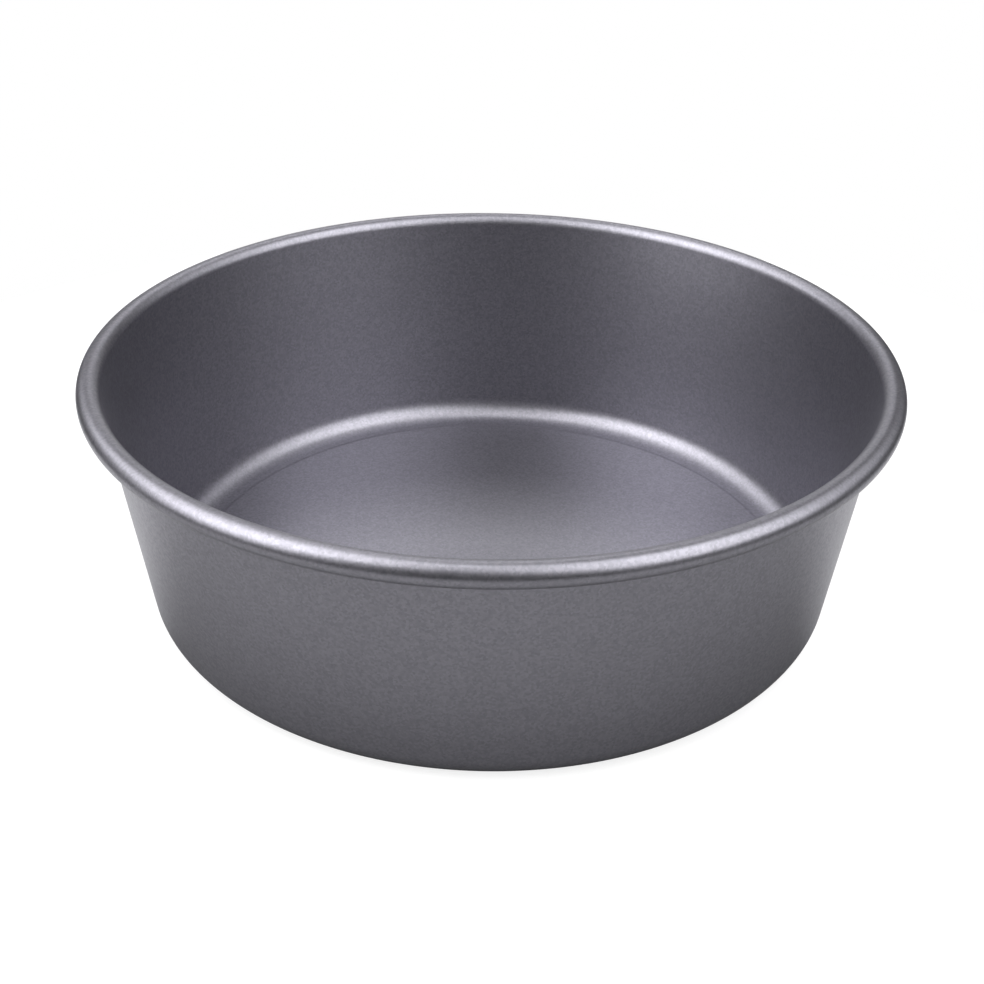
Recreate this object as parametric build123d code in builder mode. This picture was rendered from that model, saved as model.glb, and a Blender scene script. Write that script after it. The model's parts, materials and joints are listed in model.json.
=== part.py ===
from build123d import *
import os
from math import acos, atan2, cos, degrees, radians, sin

os.makedirs("parts", exist_ok=True)

# Round cake tin, in millimetres. +Z is up, the tin stands on z = 0 and the origin is the middle of its
# footprint. The tin is one deep-drawn steel pressing whose top edge is curled over a loose wire ring.

# Driving dimensions
mouth_diameter = 203.0      # clear opening inside the rolled rim, an 8 inch tin
overall_height = 68.4       # table to the top of the rolled rim
wall_taper = 7.6            # degrees that the side leans out from upright

# Pressed sheet
sheet = 0.8                 # steel with its non-stick coating
corner_radius = 6.6         # inside, where the side meets the floor
foot_width = 1.5            # flat ring that the tin stands on
panel_rise = 0.25           # how far the floor panel stands above the foot ring
step_width = 1.6            # radial run of the soft step between them

# Rolled rim
wire_diameter = 4.5
wire_clearance = 0.05       # between the wire and the sheet rolled round it
curl_gap = 0.15             # between the sheet's free edge and the wall that it turns back to
wire_joint_gap = 0.6        # between the wire's two butted ends

# Places that follow from the driving dimensions
bead_radius = wire_diameter / 2 + wire_clearance + sheet
wire_ring_radius = mouth_diameter / 2 + bead_radius
wire_height = overall_height - bead_radius

# The sheet is drawn as its middle line, so each bend is held by the radius of that line
curl_bend = bead_radius - sheet / 2
corner_bend = corner_radius + sheet / 2
middle = sheet / 2
taper = radians(wall_taper)

# The wall's middle line touches the curl on its inner side and the corner bend on its outer side
wall_top = (wire_ring_radius - curl_bend * cos(taper), wire_height + curl_bend * sin(taper))
corner_height = middle + corner_bend
corner_place = wall_top[0] - (corner_bend - (corner_height - wall_top[1]) * sin(taper)) / cos(taper)
wall_foot = (corner_place + corner_bend * cos(taper), corner_height - corner_bend * sin(taper))

# The curl turns until its outer edge is the named gap away from the wall
curl_stop = acos((bead_radius - sheet - curl_gap) / bead_radius)
curl_sweep = 360 - degrees(curl_stop)

# Two equal arcs make the step, and meet halfway along it
foot_inner = corner_place - foot_width
panel_edge = foot_inner - step_width
step_bend = (step_width**2 + panel_rise**2) / (4 * panel_rise)
step_turn = degrees(2 * atan2(panel_rise, step_width))

with BuildPart() as tin_body:
    with BuildSketch(Plane.XZ) as sheet_section:
        with BuildLine() as middle_line:
            Line((0, middle + panel_rise), (panel_edge, middle + panel_rise))
            CenterArc((panel_edge, middle + panel_rise - step_bend), step_bend, 90, -step_turn)
            CenterArc((foot_inner, middle + step_bend), step_bend, 270 - step_turn, step_turn)
            Line((foot_inner, middle), (corner_place, middle))
            CenterArc((corner_place, corner_height), corner_bend, -90, 90 - wall_taper)
            Line(wall_foot, wall_top)
            CenterArc((wire_ring_radius, wire_height), curl_bend, 180 - wall_taper, -curl_sweep)
        trace(line_width=sheet)
    revolve(axis=Axis.Z)

wire_joint_angle = degrees(wire_joint_gap / wire_ring_radius)
with BuildPart() as rim_wire:
    with BuildSketch(Plane.XZ):
        with Locations((wire_ring_radius, wire_height)):
            Circle(wire_diameter / 2)
    revolve(axis=Axis.Z, revolution_arc=360 - wire_joint_angle)

tin_body.part.label = "tin_body"
rim_wire.part.label = "rim_wire"
export_step(tin_body.part, "parts/tin_body.step")
export_step(rim_wire.part, "parts/rim_wire.step")
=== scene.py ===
import json
import math

import bmesh
import bpy
from mathutils import Matrix, Quaternion, Vector

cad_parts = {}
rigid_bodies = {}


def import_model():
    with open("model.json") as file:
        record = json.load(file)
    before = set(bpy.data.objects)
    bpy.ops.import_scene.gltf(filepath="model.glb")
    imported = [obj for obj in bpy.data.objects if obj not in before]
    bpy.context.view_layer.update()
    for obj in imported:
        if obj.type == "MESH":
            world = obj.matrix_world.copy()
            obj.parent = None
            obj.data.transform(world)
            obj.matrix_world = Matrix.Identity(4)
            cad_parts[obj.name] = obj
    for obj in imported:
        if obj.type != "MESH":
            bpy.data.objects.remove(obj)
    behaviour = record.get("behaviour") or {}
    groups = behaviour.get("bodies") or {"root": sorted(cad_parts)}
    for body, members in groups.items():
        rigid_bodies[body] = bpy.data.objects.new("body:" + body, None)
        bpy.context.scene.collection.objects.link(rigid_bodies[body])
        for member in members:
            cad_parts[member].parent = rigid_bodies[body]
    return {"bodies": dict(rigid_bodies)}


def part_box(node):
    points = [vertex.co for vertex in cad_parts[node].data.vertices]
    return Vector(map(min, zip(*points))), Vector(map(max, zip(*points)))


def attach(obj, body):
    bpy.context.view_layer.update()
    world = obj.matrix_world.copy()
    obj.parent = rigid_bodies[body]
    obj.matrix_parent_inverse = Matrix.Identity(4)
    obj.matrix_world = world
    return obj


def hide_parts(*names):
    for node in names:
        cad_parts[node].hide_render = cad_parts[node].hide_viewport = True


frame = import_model()

bl_info = {
    "name": "Round Cake Tin",
    "version": (1, 0, 0),
    "blender": (4, 5, 0),
    "location": "3D View > Sidebar > Cake Tin",
    "description": "Dresses a round cake tin with its turned sheet, its coating, a stage and a camera",
    "category": "Object",
}

MM = 0.001
PICTURE_SIDE = 984
SENSOR_WIDTH = 36.0
TIN_NODE = "tin_body"
WIRE_NODE = "rim_wire"
GRAIN = "flake_grain"
BODY = next(iter(frame["bodies"]))
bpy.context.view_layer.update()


class CakeTinShape(bpy.types.PropertyGroup):
    """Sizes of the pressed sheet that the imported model's boxes don't give."""

    bead_radius: bpy.props.FloatProperty(
        name="Bead Radius", description="Of the rolled rim's section", default=3.1 * MM, unit="LENGTH"
    )
    sheet: bpy.props.FloatProperty(
        name="Sheet", description="Thickness of the coated steel", default=0.8 * MM, unit="LENGTH"
    )
    wall_taper: bpy.props.FloatProperty(
        name="Wall Taper", description="Lean of the side from upright",
        default=math.radians(7.6), subtype="ANGLE",
    )
    corner_radius: bpy.props.FloatProperty(
        name="Corner Radius", description="Inside, from the side to the floor",
        default=6.6 * MM, unit="LENGTH",
    )
    foot_width: bpy.props.FloatProperty(
        name="Foot Width", description="Flat ring that the tin stands on", default=1.5 * MM, unit="LENGTH"
    )
    panel_rise: bpy.props.FloatProperty(
        name="Panel Rise", description="Height of the floor panel over the foot ring",
        default=0.25 * MM, unit="LENGTH",
    )
    step_width: bpy.props.FloatProperty(
        name="Step Width", description="Run of the step from foot to panel", default=1.6 * MM, unit="LENGTH"
    )
    curl_gap: bpy.props.FloatProperty(
        name="Curl Gap", description="Between the sheet's free edge and the wall",
        default=0.15 * MM, unit="LENGTH",
    )
    bend_step: bpy.props.FloatProperty(
        name="Bend Step", description="Turn between two points of a bend",
        default=math.radians(5), subtype="ANGLE",
    )
    straight_hold: bpy.props.FloatProperty(
        name="Straight Hold", description="Flat strip kept at each end of a straight run",
        default=0.4 * MM, unit="LENGTH",
    )
    turn_steps: bpy.props.IntProperty(
        name="Turn Steps", description="Steps in one turn round the axis", default=288, min=32
    )


class CakeTinCoating(bpy.types.PropertyGroup):
    """Look of the non-stick coating, a satin grey full of fine metal flakes."""

    colour: bpy.props.FloatVectorProperty(
        name="Colour", description="Metallic grey of the coating",
        default=(0.265, 0.260, 0.292), subtype="COLOR",
    )
    roughness: bpy.props.FloatProperty(
        name="Roughness", description="Middle of the flakes' spread of gloss", default=0.42, min=0, max=1
    )
    roughness_spread: bpy.props.FloatProperty(
        name="Roughness Spread", description="From the glossiest to the dullest flake",
        default=0.04, min=0, max=1,
    )
    flake: bpy.props.FloatProperty(
        name="Flake Size", description="Across one metal flake", default=0.6 * MM, unit="LENGTH"
    )
    flake_tilt: bpy.props.FloatProperty(
        name="Flake Tilt", description="How far the flakes lean out of the surface",
        default=0.02, min=0, max=1,
    )
    flake_shade: bpy.props.FloatProperty(
        name="Flake Shade", description="From the palest to the darkest flake", default=0.22, min=0, max=1
    )
    cloud: bpy.props.FloatProperty(
        name="Cloud Size", description="Across a soft patch of thicker spray", default=1.8 * MM, unit="LENGTH"
    )
    cloud_depth: bpy.props.FloatProperty(
        name="Cloud Depth", description="How much the spray's patches change the colour",
        default=0.14, min=0, max=1,
    )


class CakeTinWire(bpy.types.PropertyGroup):
    """Look of the ring of wire inside the rolled rim."""

    colour: bpy.props.FloatVectorProperty(
        name="Colour", description="Bare drawn steel", default=(0.50, 0.49, 0.47), subtype="COLOR"
    )
    roughness: bpy.props.FloatProperty(
        name="Roughness", description="Middle of its spread of gloss", default=0.34, min=0, max=1
    )
    draw_mark: bpy.props.FloatProperty(
        name="Draw Mark", description="Width of a mark left by the drawing die",
        default=0.12 * MM, unit="LENGTH",
    )


class CakeTinView(bpy.types.PropertyGroup):
    """Place of the camera that took the photograph."""

    focal_pixels: bpy.props.FloatProperty(
        name="Focal Length", description="In pixels of the photograph", default=1472.4
    )
    distance: bpy.props.FloatProperty(
        name="Distance", description="From the middle of the rim", default=0.3940, unit="LENGTH"
    )
    elevation: bpy.props.FloatProperty(
        name="Elevation", description="Above the rim's plane", default=math.radians(25.01), subtype="ANGLE"
    )
    roll: bpy.props.FloatProperty(
        name="Roll", description="Turn about the line of sight", default=0.0129, subtype="ANGLE"
    )
    rim_middle_pixel: bpy.props.FloatVectorProperty(
        name="Rim Middle", description="Pixel where the rim's middle lies", size=2, default=(492.04, 358.1)
    )


class CakeTinStage(bpy.types.PropertyGroup):
    """Table top, backdrop and light."""

    floor_radius: bpy.props.FloatProperty(
        name="Floor Radius", description="Of the round table top under the tin", default=0.27, unit="LENGTH"
    )
    floor_colour: bpy.props.FloatVectorProperty(
        name="Floor Colour", description="Pale grey that the tin reflects",
        default=(0.43, 0.43, 0.43), subtype="COLOR",
    )
    contact_reach: bpy.props.FloatProperty(
        name="Contact Reach", description="How far from the tin its shadow on the floor is deepened",
        default=0.12, unit="LENGTH",
    )
    floor_white: bpy.props.FloatProperty(
        name="Floor White", description="Glow that the camera sees on the floor", default=0.80
    )
    shadow_depth: bpy.props.FloatProperty(
        name="Shadow Depth", description="Matt part of the floor that the camera sees", default=0.25
    )
    bright_edge: bpy.props.FloatProperty(
        name="Bright Edge", description="Behind the axis, where metal and glass see the floor turn white",
        default=-0.025, unit="LENGTH",
    )
    bright_blur: bpy.props.FloatProperty(
        name="Bright Blur", description="Half the width of that turn", default=0.02, unit="LENGTH"
    )
    backdrop_angle: bpy.props.FloatProperty(
        name="Backdrop Angle", description="From the middle of the backdrop to its edge",
        default=math.radians(20), subtype="ANGLE",
    )
    backdrop_blur: bpy.props.FloatProperty(
        name="Backdrop Blur", description="Half the width of that edge",
        default=math.radians(5), subtype="ANGLE",
    )
    fill: bpy.props.FloatProperty(
        name="Fill", description="Light from all round", default=0.03
    )
    light_level: bpy.props.FloatProperty(
        name="Light Level", description="Brightness of all the softboxes together", default=1.0
    )


def bend(middle, radius, start, sweep, step):
    """Points of a bend's middle line, each with the direction of the sheet's cooking side."""
    count = math.ceil(abs(sweep) / step)
    inward = -1 if sweep > 0 else 1
    points = []
    for index in range(count + 1):
        angle = start + sweep * index / count
        out = Vector((math.cos(angle), math.sin(angle)))
        points.append((Vector(middle) + radius * out, inward * out))
    return points


def straight(start, end, hold):
    """Points of a straight run, with a strip at each end that keeps its shading flat."""
    start, end = Vector(start), Vector(end)
    along = (end - start).normalized()
    normal = Vector((-along.y, along.x))
    return [(place, normal) for place in (start, start + hold * along, end - hold * along, end)]


def sheet_outline(shape):
    """Closed section of the pressed sheet, as radius and height, from the axis out and back."""
    low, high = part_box(TIN_NODE)
    ring = high.x - shape.bead_radius
    ring_height = high.z - shape.bead_radius
    half, taper = shape.sheet / 2, shape.wall_taper
    curl, corner = shape.bead_radius - half, shape.corner_radius + half
    wall_top = (ring - curl * math.cos(taper), ring_height + curl * math.sin(taper))
    corner_height = half + corner
    corner_place = wall_top[0] - (corner - (corner_height - wall_top[1]) * math.sin(taper)) / math.cos(taper)
    wall_foot = (corner_place + corner * math.cos(taper), corner_height - corner * math.sin(taper))
    foot_inner = corner_place - shape.foot_width
    panel_edge = foot_inner - shape.step_width
    step = (shape.step_width**2 + shape.panel_rise**2) / (4 * shape.panel_rise)
    step_turn = 2 * math.atan2(shape.panel_rise, shape.step_width)
    panel = half + shape.panel_rise
    stop = math.acos((shape.bead_radius - shape.sheet - shape.curl_gap) / shape.bead_radius)
    quarter, fine = math.pi / 2, shape.bend_step
    strokes = (
        straight((0, panel), (panel_edge, panel), shape.straight_hold),
        bend((panel_edge, panel - step), step, quarter, -step_turn, fine),
        bend((foot_inner, half + step), step, -quarter - step_turn, step_turn, fine),
        straight((foot_inner, half), (corner_place, half), shape.straight_hold),
        bend((corner_place, corner_height), corner, -quarter, quarter - taper, fine),
        straight(wall_foot, wall_top, shape.straight_hold),
        bend((ring, ring_height), curl, 2 * quarter - taper, stop - 4 * quarter, fine),
    )
    line = strokes[0] + [point for stroke in strokes[1:] for point in stroke[1:]]
    inside = [place + half * normal for place, normal in line]
    outside = [place - half * normal for place, normal in line]
    return inside + outside[::-1]


def turning_tree():
    """Node tree that turns an open section, drawn as edges in the XZ plane, round the Z axis."""
    tree = bpy.data.node_groups.new("turned_on_the_axis", "GeometryNodeTree")
    tree.is_modifier = True
    face = tree.interface
    face.new_socket("Section", in_out="INPUT", socket_type="NodeSocketGeometry")
    path_radius = face.new_socket("Path Radius", in_out="INPUT", socket_type="NodeSocketFloat")
    path_radius.default_value = MM
    turn_steps = face.new_socket("Turn Steps", in_out="INPUT", socket_type="NodeSocketInt")
    turn_steps.default_value = 64
    merge_distance = face.new_socket("Merge Distance", in_out="INPUT", socket_type="NodeSocketFloat")
    merge_distance.default_value = 0.001 * MM
    face.new_socket("Finish", in_out="INPUT", socket_type="NodeSocketMaterial")
    face.new_socket("Turned", in_out="OUTPUT", socket_type="NodeSocketGeometry")
    nodes, link = tree.nodes, tree.links.new
    entry, leave = nodes.new("NodeGroupInput"), nodes.new("NodeGroupOutput")

    place, parts = nodes.new("GeometryNodeInputPosition"), nodes.new("ShaderNodeSeparateXYZ")
    link(place.outputs[0], parts.inputs[0])
    down = nodes.new("ShaderNodeMath")
    down.operation = "MULTIPLY"
    down.inputs[1].default_value = -1
    link(parts.outputs["Z"], down.inputs[0])
    reach = nodes.new("ShaderNodeMath")
    reach.operation = "SUBTRACT"
    link(parts.outputs["X"], reach.inputs[0])
    link(entry.outputs["Path Radius"], reach.inputs[1])
    across = nodes.new("ShaderNodeCombineXYZ")
    link(reach.outputs[0], across.inputs["X"])
    link(down.outputs[0], across.inputs["Y"])

    section = nodes.new("GeometryNodeMeshToCurve")
    link(entry.outputs["Section"], section.inputs["Mesh"])
    hung = nodes.new("GeometryNodeSetPosition")
    link(section.outputs["Curve"], hung.inputs["Geometry"])
    link(across.outputs[0], hung.inputs["Position"])

    circle = nodes.new("GeometryNodeCurvePrimitiveCircle")
    link(entry.outputs["Turn Steps"], circle.inputs["Resolution"])
    link(entry.outputs["Path Radius"], circle.inputs["Radius"])
    upright = nodes.new("GeometryNodeSetCurveNormal")
    upright.mode = "Z_UP"
    link(circle.outputs["Curve"], upright.inputs["Curve"])

    turned = nodes.new("GeometryNodeCurveToMesh")
    link(upright.outputs["Curve"], turned.inputs["Curve"])
    link(hung.outputs["Geometry"], turned.inputs["Profile Curve"])
    merged = nodes.new("GeometryNodeMergeByDistance")
    link(turned.outputs["Mesh"], merged.inputs["Geometry"])
    link(entry.outputs["Merge Distance"], merged.inputs["Distance"])
    smooth = nodes.new("GeometryNodeSetShadeSmooth")
    link(merged.outputs["Geometry"], smooth.inputs["Geometry"])
    real = nodes.new("GeometryNodeRealizeInstances")
    link(smooth.outputs["Geometry"], real.inputs["Geometry"])
    finish = nodes.new("GeometryNodeSetMaterial")
    link(real.outputs["Geometry"], finish.inputs["Geometry"])
    link(entry.outputs["Finish"], finish.inputs["Material"])
    link(finish.outputs["Geometry"], leave.inputs["Turned"])
    return tree


def turned_piece(name, outline, settings):
    """A plain mesh made by turning the outline with the tree; settings are the tree's inputs by name."""
    section = bpy.data.meshes.new(name + "_section")
    edges = [(index, index + 1) for index in range(len(outline) - 1)]
    section.from_pydata([(radius, 0, height) for radius, height in outline], edges, [])
    host = bpy.data.objects.new(name + "_section", section)
    bpy.context.scene.collection.objects.link(host)
    turning = host.modifiers.new("turning", "NODES")
    turning.node_group = turning_tree()
    for socket in turning.node_group.interface.items_tree:
        if socket.in_out == "INPUT" and socket.name in settings:
            turning[socket.identifier] = settings[socket.name]
    ready = host.evaluated_get(bpy.context.evaluated_depsgraph_get())
    mesh = bpy.data.meshes.new_from_object(ready)
    mesh.name = name
    bpy.data.objects.remove(host)
    bpy.data.meshes.remove(section)
    piece = bpy.data.objects.new(name, mesh)
    bpy.context.scene.collection.objects.link(piece)
    return piece


def grain_group():
    """Shader group of small cells, each with its own shade, gloss and lean, over soft clouds; built once."""
    if GRAIN in bpy.data.node_groups:
        return bpy.data.node_groups[GRAIN]
    group = bpy.data.node_groups.new(GRAIN, "ShaderNodeTree")
    face = group.interface
    face.new_socket("Place", in_out="INPUT", socket_type="NodeSocketVector")
    for name in ("Cell Size", "Cell Tilt", "Cell Shade", "Cloud Size", "Cloud Depth"):
        face.new_socket(name, in_out="INPUT", socket_type="NodeSocketFloat")
    for name in ("Roughness", "Roughness Spread"):
        face.new_socket(name, in_out="INPUT", socket_type="NodeSocketFloat")
    face.new_socket("Colour", in_out="INPUT", socket_type="NodeSocketColor")
    face.new_socket("Colour", in_out="OUTPUT", socket_type="NodeSocketColor")
    face.new_socket("Roughness", in_out="OUTPUT", socket_type="NodeSocketFloat")
    face.new_socket("Normal", in_out="OUTPUT", socket_type="NodeSocketVector")
    nodes, link = group.nodes, group.links.new
    entry, leave = nodes.new("NodeGroupInput"), nodes.new("NodeGroupOutput")

    def maths(operation, first, second):
        node = nodes.new("ShaderNodeMath")
        node.operation = operation
        for socket, value in zip(node.inputs, (first, second)):
            if isinstance(value, (int, float)):
                socket.default_value = value
            else:
                link(value, socket)
        return node.outputs[0]

    cells = nodes.new("ShaderNodeTexVoronoi")
    link(entry.outputs["Place"], cells.inputs["Vector"])
    link(maths("DIVIDE", 1, entry.outputs["Cell Size"]), cells.inputs["Scale"])
    chance = nodes.new("ShaderNodeSeparateColor")
    link(cells.outputs["Color"], chance.inputs["Color"])

    lean = nodes.new("ShaderNodeVectorMath")
    lean.operation = "SUBTRACT"
    lean.inputs[1].default_value = (0.5, 0.5, 0.5)
    link(cells.outputs["Color"], lean.inputs[0])
    scaled = nodes.new("ShaderNodeVectorMath")
    scaled.operation = "SCALE"
    link(lean.outputs[0], scaled.inputs[0])
    link(entry.outputs["Cell Tilt"], scaled.inputs["Scale"])
    surface = nodes.new("ShaderNodeNewGeometry")
    leaned = nodes.new("ShaderNodeVectorMath")
    leaned.operation = "ADD"
    link(surface.outputs["Normal"], leaned.inputs[0])
    link(scaled.outputs[0], leaned.inputs[1])
    unit = nodes.new("ShaderNodeVectorMath")
    unit.operation = "NORMALIZE"
    link(leaned.outputs[0], unit.inputs[0])
    link(unit.outputs[0], leave.inputs["Normal"])

    clouds = nodes.new("ShaderNodeTexNoise")
    clouds.inputs["Detail"].default_value = 3
    link(entry.outputs["Place"], clouds.inputs["Vector"])
    link(maths("DIVIDE", 1, entry.outputs["Cloud Size"]), clouds.inputs["Scale"])

    def swing(value, width):
        return maths("MULTIPLY", maths("SUBTRACT", value, 0.5), entry.outputs[width])

    patches = swing(clouds.outputs[0], "Cloud Depth")
    mottle = maths("ADD", patches, swing(chance.outputs["Green"], "Cell Shade"))
    shade = nodes.new("ShaderNodeVectorMath")
    shade.operation = "SCALE"
    link(entry.outputs["Colour"], shade.inputs[0])
    link(maths("ADD", mottle, 1), shade.inputs["Scale"])
    link(shade.outputs[0], leave.inputs["Colour"])
    gloss = maths("ADD", entry.outputs["Roughness"], swing(chance.outputs["Red"], "Roughness Spread"))
    link(gloss, leave.inputs["Roughness"])
    return group


def grained_material(name, stretch, settings):
    """Metal whose colour, gloss and normal come from the grain; stretch scales the grain's place."""
    material = bpy.data.materials.new(name)
    material.use_nodes = True
    nodes, link = material.node_tree.nodes, material.node_tree.links.new
    shader = nodes["Principled BSDF"]
    shader.inputs["Metallic"].default_value = 1
    place, mapping = nodes.new("ShaderNodeTexCoord"), nodes.new("ShaderNodeMapping")
    mapping.inputs["Scale"].default_value = stretch
    link(place.outputs["Object"], mapping.inputs["Vector"])
    grain = nodes.new("ShaderNodeGroup")
    grain.node_tree = grain_group()
    link(mapping.outputs[0], grain.inputs["Place"])
    for socket, value in settings.items():
        grain.inputs[socket].default_value = value
    link(grain.outputs["Colour"], shader.inputs["Base Color"])
    link(grain.outputs["Roughness"], shader.inputs["Roughness"])
    link(grain.outputs["Normal"], shader.inputs["Normal"])
    return material


def coating_material(coating):
    """Satin metallic non-stick coating."""
    return grained_material("nonstick_coating", (1, 1, 1), {
        "Colour": (*coating.colour, 1),
        "Roughness": coating.roughness,
        "Roughness Spread": coating.roughness_spread,
        "Cell Size": coating.flake,
        "Cell Tilt": coating.flake_tilt,
        "Cell Shade": coating.flake_shade,
        "Cloud Size": coating.cloud,
        "Cloud Depth": coating.cloud_depth,
    })


def wire_material(wire):
    """Bare steel with the die's marks along the wire."""
    return grained_material("bare_steel_wire", (0.1, 0.1, 1), {
        "Colour": (*wire.colour, 1),
        "Roughness": wire.roughness,
        "Roughness Spread": 0.2,
        "Cell Size": wire.draw_mark,
        "Cell Tilt": 0.08,
        "Cell Shade": 0.1,
        "Cloud Size": 5 * MM,
        "Cloud Depth": 0.1,
    })


def background_rays(tree, coordinate, start, end):
    """1 for the camera's rays; for those of metal and glass it grows from 0 to 1 along the coordinate's Y."""
    nodes, link = tree.nodes, tree.links.new
    rays, place = nodes.new("ShaderNodeLightPath"), nodes.new("ShaderNodeTexCoord")
    towards, behind = nodes.new("ShaderNodeSeparateXYZ"), nodes.new("ShaderNodeMapRange")
    mirrored, reflected, white = (nodes.new("ShaderNodeMath") for _ in range(3))
    mirrored.operation, reflected.operation, white.operation = "MAXIMUM", "MULTIPLY", "MAXIMUM"
    behind.inputs["From Min"].default_value = start
    behind.inputs["From Max"].default_value = end
    link(place.outputs[coordinate], towards.inputs[0])
    link(towards.outputs["Y"], behind.inputs["Value"])
    link(rays.outputs["Is Glossy Ray"], mirrored.inputs[0])
    link(rays.outputs["Is Transmission Ray"], mirrored.inputs[1])
    link(mirrored.outputs[0], reflected.inputs[0])
    link(behind.outputs[0], reflected.inputs[1])
    link(reflected.outputs[0], white.inputs[0])
    link(rays.outputs["Is Camera Ray"], white.inputs[1])
    return white.outputs[0]


def floor_material(stage):
    """Pale matt floor, seen nearly white by the camera and behind the tin, with a trace of the shadow; its
    matt colour also carries painted shade that darkens it near the tin.
    """
    material = bpy.data.materials.new("pale_floor")
    material.use_nodes = True
    nodes, link = material.node_tree.nodes, material.node_tree.links.new
    nodes.clear()
    # Painted shade: ambient occlusion darkens the floor's matt colour near the tin, deepening the real shadow
    # there.
    painted_contact_shade = nodes.new("ShaderNodeAmbientOcclusion")
    painted_contact_shade.inputs["Color"].default_value = (*stage.floor_colour, 1)
    painted_contact_shade.inputs["Distance"].default_value = stage.contact_reach
    matt, veil = nodes.new("ShaderNodeBsdfDiffuse"), nodes.new("ShaderNodeBsdfDiffuse")
    link(painted_contact_shade.outputs["Color"], matt.inputs["Color"])
    depth = stage.shadow_depth
    veil.inputs["Color"].default_value = (depth, depth, depth, 1)
    white = nodes.new("ShaderNodeEmission")
    white.inputs["Strength"].default_value = stage.floor_white
    seen, mixed = nodes.new("ShaderNodeAddShader"), nodes.new("ShaderNodeMixShader")
    link(white.outputs[0], seen.inputs[0])
    link(veil.outputs[0], seen.inputs[1])
    edge, blur = stage.bright_edge, stage.bright_blur
    link(background_rays(material.node_tree, "Object", edge - blur, edge + blur), mixed.inputs["Fac"])
    link(matt.outputs[0], mixed.inputs[1])
    link(seen.outputs[0], mixed.inputs[2])
    link(mixed.outputs[0], nodes.new("ShaderNodeOutputMaterial").inputs["Surface"])
    return material


def lay_floor(stage):
    """The round table top that the tin stands on."""
    shape = bmesh.new()
    bmesh.ops.create_circle(shape, cap_ends=True, segments=96, radius=stage.floor_radius)
    mesh = bpy.data.meshes.new("floor")
    shape.to_mesh(mesh)
    shape.free()
    mesh.materials.append(floor_material(stage))
    floor = bpy.data.objects.new("floor", mesh)
    bpy.context.scene.collection.objects.link(floor)


def studio_world(stage):
    """White to the camera; metal and glass see that white where the backdrop stands, else a dim room."""
    world = bpy.data.worlds.new("studio")
    world.use_nodes = True
    nodes, link = world.node_tree.nodes, world.node_tree.links.new
    start = math.cos(stage.backdrop_angle + stage.backdrop_blur)
    end = math.cos(stage.backdrop_angle - stage.backdrop_blur)
    level = nodes.new("ShaderNodeMapRange")
    level.inputs["To Min"].default_value = stage.fill
    level.inputs["To Max"].default_value = 1
    link(background_rays(world.node_tree, "Generated", start, end), level.inputs["Value"])
    link(level.outputs[0], nodes["Background"].inputs["Strength"])
    nodes["Background"].inputs["Color"].default_value = (1, 1, 1, 1)
    bpy.context.scene.world = world


def hang_softbox(name, bearing, elevation, distance, width, height, brightness):
    """A soft rectangular light aimed at the tin; angles in degrees, the bearing clockwise from behind."""
    around, above = math.radians(bearing), math.radians(elevation)
    towards = Vector((
        math.cos(above) * math.sin(around), math.cos(above) * math.cos(around), math.sin(above)
    ))
    light = bpy.data.lights.new(name, "AREA")
    light.shape = "RECTANGLE"
    light.size = width
    light.size_y = height
    light.energy = brightness * math.pi * width * height
    lamp = bpy.data.objects.new(name, light)
    lamp.location = towards * distance
    lamp.rotation_mode = "QUATERNION"
    lamp.rotation_quaternion = towards.to_track_quat("Z", "Y")
    bpy.context.scene.collection.objects.link(lamp)


def place_camera(view, rim_middle):
    """The camera looks where the photograph's did, so the rim's middle lands on its own pixel."""
    half = PICTURE_SIDE / 2
    back = Vector((0, -math.cos(view.elevation), math.sin(view.elevation)))
    right = Vector((1, 0, 0))
    axes = Matrix((right, back.cross(right), back)).transposed().to_quaternion()
    column, row = view.rim_middle_pixel
    seen = Vector((column - half, half - row, -view.focal_pixels)).normalized()
    lens = bpy.data.cameras.new("photo_camera")
    lens.sensor_width = SENSOR_WIDTH
    lens.lens = view.focal_pixels / PICTURE_SIDE * SENSOR_WIDTH
    lens.clip_start = 0.01
    camera = bpy.data.objects.new("photo_camera", lens)
    camera.rotation_mode = "QUATERNION"
    camera.rotation_quaternion = (
        axes @ Quaternion((0, 0, 1), view.roll) @ seen.rotation_difference(Vector((0, 0, -1)))
    )
    camera.location = rim_middle + back * view.distance
    bpy.context.scene.collection.objects.link(camera)
    bpy.context.scene.camera = camera
    return camera


class CAKETIN_OT_tin(bpy.types.Operator):
    """Turn the pressed sheet with its rolled rim and coat it"""

    bl_idname = "caketin.tin"
    bl_label = "Make Tin"

    def execute(self, context):
        scene = context.scene
        coated = coating_material(scene.cake_tin_coating)
        settings = {"Turn Steps": scene.cake_tin_shape.turn_steps, "Finish": coated}
        tin = turned_piece("pressed_tin", sheet_outline(scene.cake_tin_shape), settings)
        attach(tin, BODY)
        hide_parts(TIN_NODE)
        return {"FINISHED"}


class CAKETIN_OT_wire(bpy.types.Operator):
    """Give the ring of wire inside the rim its bare drawn steel"""

    bl_idname = "caketin.wire"
    bl_label = "Finish Wire"

    def execute(self, context):
        steel = wire_material(context.scene.cake_tin_wire)
        for slot in bpy.data.objects[WIRE_NODE].material_slots:
            slot.material = steel
        return {"FINISHED"}


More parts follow.
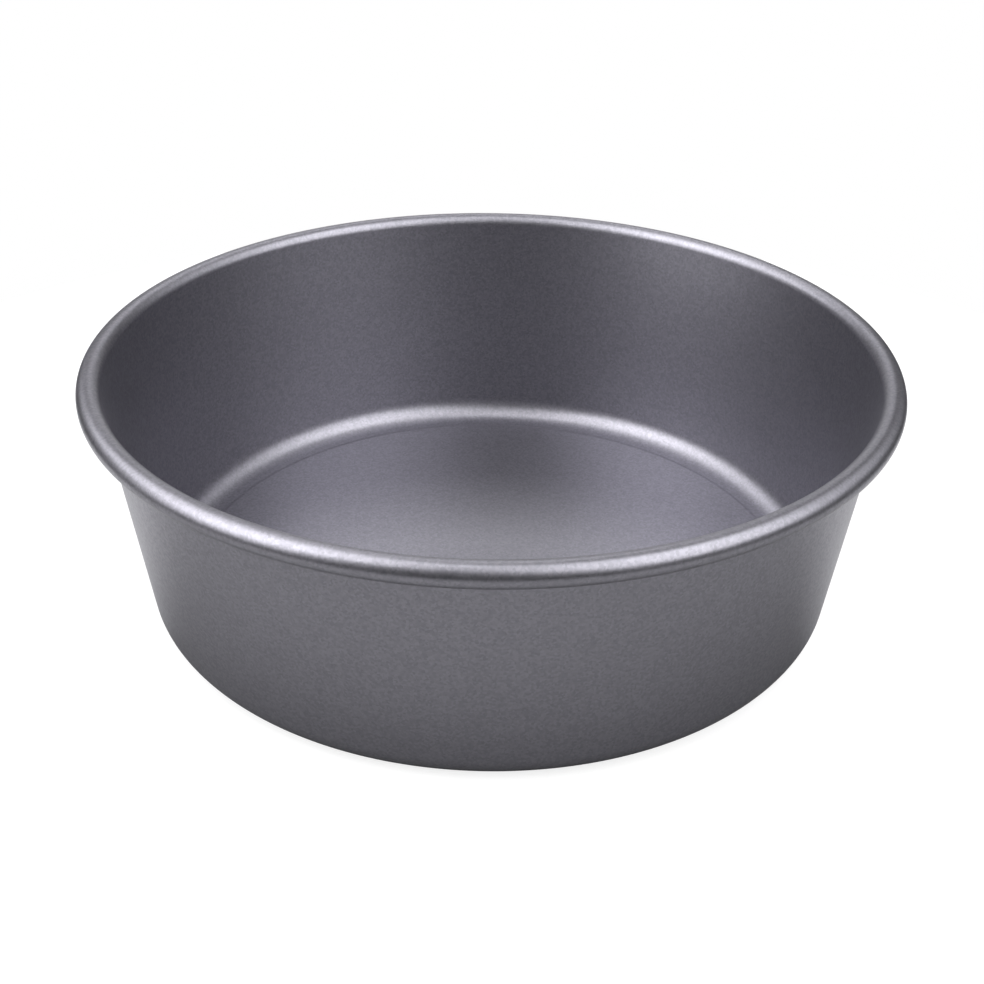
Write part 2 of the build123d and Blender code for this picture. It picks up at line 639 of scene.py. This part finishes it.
class CAKETIN_OT_stage(bpy.types.Operator):
    """Set the table top, the backdrop, the lights and the camera"""

    bl_idname = "caketin.stage"
    bl_label = "Set Stage"

    def execute(self, context):
        scene = context.scene
        scene.view_settings.view_transform = "Standard"
        low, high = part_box(WIRE_NODE)
        place_camera(scene.cake_tin_view, Vector((0, 0, (low.z + high.z) / 2)))
        lay_floor(scene.cake_tin_stage)
        studio_world(scene.cake_tin_stage)
        level = scene.cake_tin_stage.light_level
        hang_softbox(
            "right_softbox", bearing=122, elevation=45, distance=1.5,
            width=1.4, height=1.7, brightness=2.45 * level,
        )
        hang_softbox(
            "right_scrim", bearing=101, elevation=44, distance=1.5,
            width=3.0, height=1.5, brightness=1.0 * level,
        )
        hang_softbox(
            "left_softbox", bearing=249, elevation=32, distance=1.5,
            width=1.15, height=1.55, brightness=2.4 * level,
        )
        hang_softbox(
            "left_scrim", bearing=273, elevation=51, distance=1.5,
            width=2.2, height=1.4, brightness=2.75 * level,
        )
        hang_softbox(
            "overhead_softbox", bearing=0, elevation=90, distance=1.6,
            width=2.1, height=0.55, brightness=2.1 * level,
        )
        hang_softbox(
            "back_softbox", bearing=0, elevation=44, distance=1.6,
            width=0.85, height=0.45, brightness=2.6 * level,
        )
        return {"FINISHED"}


class CAKETIN_PT_panel(bpy.types.Panel):
    """Lists the tin's pieces and its stage"""

    bl_idname = "CAKETIN_PT_panel"
    bl_label = "Round Cake Tin"
    bl_space_type = "VIEW_3D"
    bl_region_type = "UI"
    bl_category = "Cake Tin"

    def draw(self, context):
        for title, operator, settings in STEPS:
            box = self.layout.box()
            box.label(text=title)
            for group in settings:
                for name in getattr(context.scene, group).__annotations__:
                    box.prop(getattr(context.scene, group), name)
            box.operator(operator)


STEPS = (
    ("Pressed Tin", "caketin.tin", ("cake_tin_shape", "cake_tin_coating")),
    ("Rim Wire", "caketin.wire", ("cake_tin_wire",)),
    ("Stage", "caketin.stage", ("cake_tin_view", "cake_tin_stage")),
)
SETTINGS = {
    "cake_tin_shape": CakeTinShape,
    "cake_tin_coating": CakeTinCoating,
    "cake_tin_wire": CakeTinWire,
    "cake_tin_view": CakeTinView,
    "cake_tin_stage": CakeTinStage,
}
CLASSES = (*SETTINGS.values(), CAKETIN_OT_tin, CAKETIN_OT_wire, CAKETIN_OT_stage, CAKETIN_PT_panel)


def register():
    for each in CLASSES:
        bpy.utils.register_class(each)
    for name, group in SETTINGS.items():
        setattr(bpy.types.Scene, name, bpy.props.PointerProperty(type=group))


def unregister():
    for name in SETTINGS:
        delattr(bpy.types.Scene, name)
    for each in reversed(CLASSES):
        bpy.utils.unregister_class(each)


def main():
    register()
    bpy.ops.caketin.tin()
    bpy.ops.caketin.wire()
    bpy.ops.caketin.stage()


if __name__ == "__main__":
    main()
